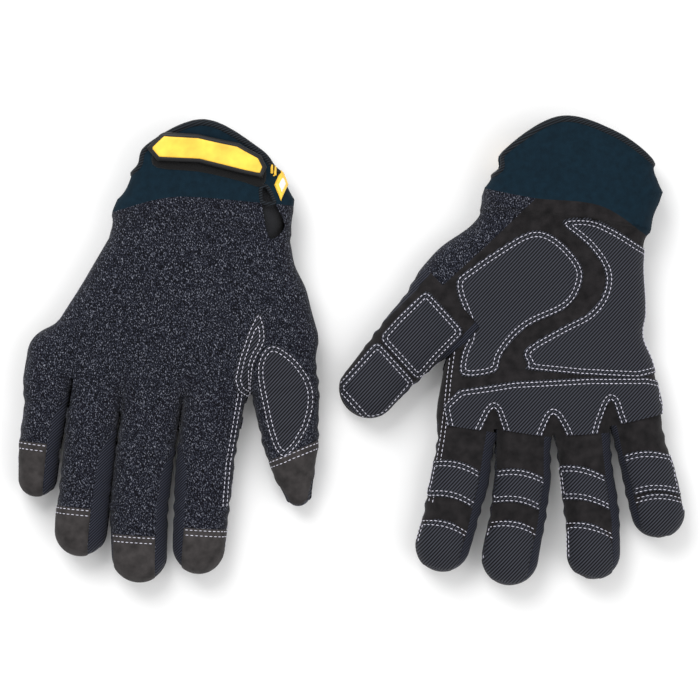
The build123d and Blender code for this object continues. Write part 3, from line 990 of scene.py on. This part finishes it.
def closure(zone):
    """Loop pad, strap, pull tab and the trim beside it."""
    glove, mark = zone.glove, zone.glove.mark
    pad = inside_outline(glove, "a", LOOP_PAD, -1)
    tab = inside_outline(glove, "a", TAB, -1, 0)
    stand_for(zone.overlay("loop_pad", "loop", pad, 0.9, 0.9), f"{mark}_loop_pad")
    parts = (("strap", "loop", 0.7, 1.2, 1.0, 0.8), ("pull_tab", "moulded", 0.0, 2.3, 1.7, 1.4),
             ("tab_inlay", "inlay", 2.3, 3.9, 0.6, 0.7))
    for name, material, inset, lift, thick, roll in parts:
        field = lambda p, d=inset: tab(p) + d
        item = zone.overlay(name, material, field, thick, roll, lift, body=f"{mark}_strap")
        stand_for(item, f"{mark}_{name}")
    bead = inside_outline(glove, "a", DIAMOND, -1, 0)
    zone.overlay("bead_rim", "inlay", bead, 1.6, 0.8)
    zone.overlay("bead", "bead", lambda p: bead(p) + 1.1, 1.9, 0.8)
    for i, (x, y) in enumerate(BARS):
        bar = [(x - 0.55, y - 2.6), (x + 0.55, y - 2.6), (x + 0.55, y + 2.6), (x - 0.55, y + 2.6)]
        zone.overlay(f"bar_{i}", "inlay", inside_outline(glove, "a", bar, -1, 0), 1.1, 0.4)


def edges(glove):
    """The lining, and the bindings round the rim and the vent."""
    mark = glove.mark
    low = np.array([*(glove.hand.min(0) - 2), 1.0])
    high = np.array([glove.hand[:, 0].max() + 4, glove.rim[:, 1].max() + 4, 36.0])
    verts, tris = surface(lambda p: glove.body_field(p[..., :2], p[..., 2]) + 3.0, low, high, 2.2)
    verts, tris, _, _ = cut(verts, tris, glove.past_rim(verts[:, :2]) + 0.8)
    inner = glove.past_rim(verts[tris].mean(1)[:, :2]) < -0.8
    verts, tris, _ = keep(verts, tris[:, ::-1], inner)
    lining = make(f"{mark}_lining", verts, tris, "lining")
    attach(lining, f"{mark}_hand")
    stand_for(lining, f"{mark}_lining")
    # The rim's own line, taken from the skin.
    low = np.array([glove.hand[:, 0].min() - 8, glove.cuff_at[1] - 4, -1.5])
    high = np.array([glove.hand[:, 0].max() + 10, glove.rim[:, 1].max() + 8, 37.5])
    verts, tris = surface(glove.field, low, high, 1.6)
    verts = glove.settle(verts)
    for name, value in (("cuff_binding", glove.past_rim(verts[:, :2]) + 1.4),
                        ("vent_binding", inside_outline(glove, "a", VENT, -1)(verts))):
        radius, deep = BINDINGS[name]
        cut_verts, _, _, lines = cut(verts, tris, value)
        longest = max(chains(lines, cut_verts), key=len, default=None)
        if longest is None:
            continue
        line = longest[:-1] if np.allclose(longest[0], longest[-1]) else longest
        for _ in range(3):
            line = (np.roll(line, 1, 0) + line * 2 + np.roll(line, -1, 0)) / 4
        line = line - glove.normal(line) * deep
        item = tube(f"{mark}_{name}", line, radius, "binding", closed=True)
        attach(item, f"{mark}_hand")
        stand_for(item, f"{mark}_{name}")


def build(mark):
    glove = Glove(mark)
    dress_hand(hand_zone(glove))
    for finger in glove.fingers:
        for zone in finger_zones(glove, finger):
            dress_finger(zone)
    edges(glove)


# ------------------------------------------------------------------ setting
def studio():
    bpy.ops.mesh.primitive_plane_add(size=6, location=(0, 0, -FLOOR_DROP * MM))
    floor = bpy.context.object
    floor.name = "floor"
    material = bpy.data.materials.new("floor")
    material.use_nodes = True
    shader = material.node_tree.nodes["Principled BSDF"]
    shader.inputs["Base Color"].default_value = (0.9, 0.9, 0.9, 1)
    shader.inputs["Roughness"].default_value = 0.9
    floor.data.materials.append(material)
    scene = bpy.context.scene
    world = bpy.data.worlds.new("studio")
    world.use_nodes = True
    world.node_tree.nodes["Background"].inputs["Color"].default_value = (1, 1, 1, 1)
    world.node_tree.nodes["Background"].inputs["Strength"].default_value = 0.75
    scene.world = world
    for place, power, size in (((-0.5, 0.9, 1.3), 16, 0.9), ((0.9, -0.3, 1.2), 7, 1.2)):
        light = bpy.data.lights.new("softbox", "AREA")
        light.energy, light.size = power, size
        item = bpy.data.objects.new("softbox", light)
        item.location = place
        toward = -np.array(place)
        item.rotation_euler = (np.arctan2(np.hypot(*toward[:2]), -toward[2]), 0,
                               np.arctan2(-toward[0], toward[1]))
        scene.collection.objects.link(item)
    scene.view_settings.view_transform = "Standard"
    camera = bpy.data.cameras.new("camera")
    camera.sensor_width = 36
    camera.lens = camera.sensor_width * (CAMERA_HEIGHT - 0.015) / CAMERA_SPAN
    camera.clip_end = 20
    item = bpy.data.objects.new("camera", camera)
    item.location = (-0.00015, 0.00119, CAMERA_HEIGHT)
    scene.collection.objects.link(item)
    scene.camera = item


for glove_mark in ("a", "b"):
    build(glove_mark)
studio()
for node_name, node in frame["nodes"].items():
    if not node.hide_render:
        print("CAD node still shown:", node_name)
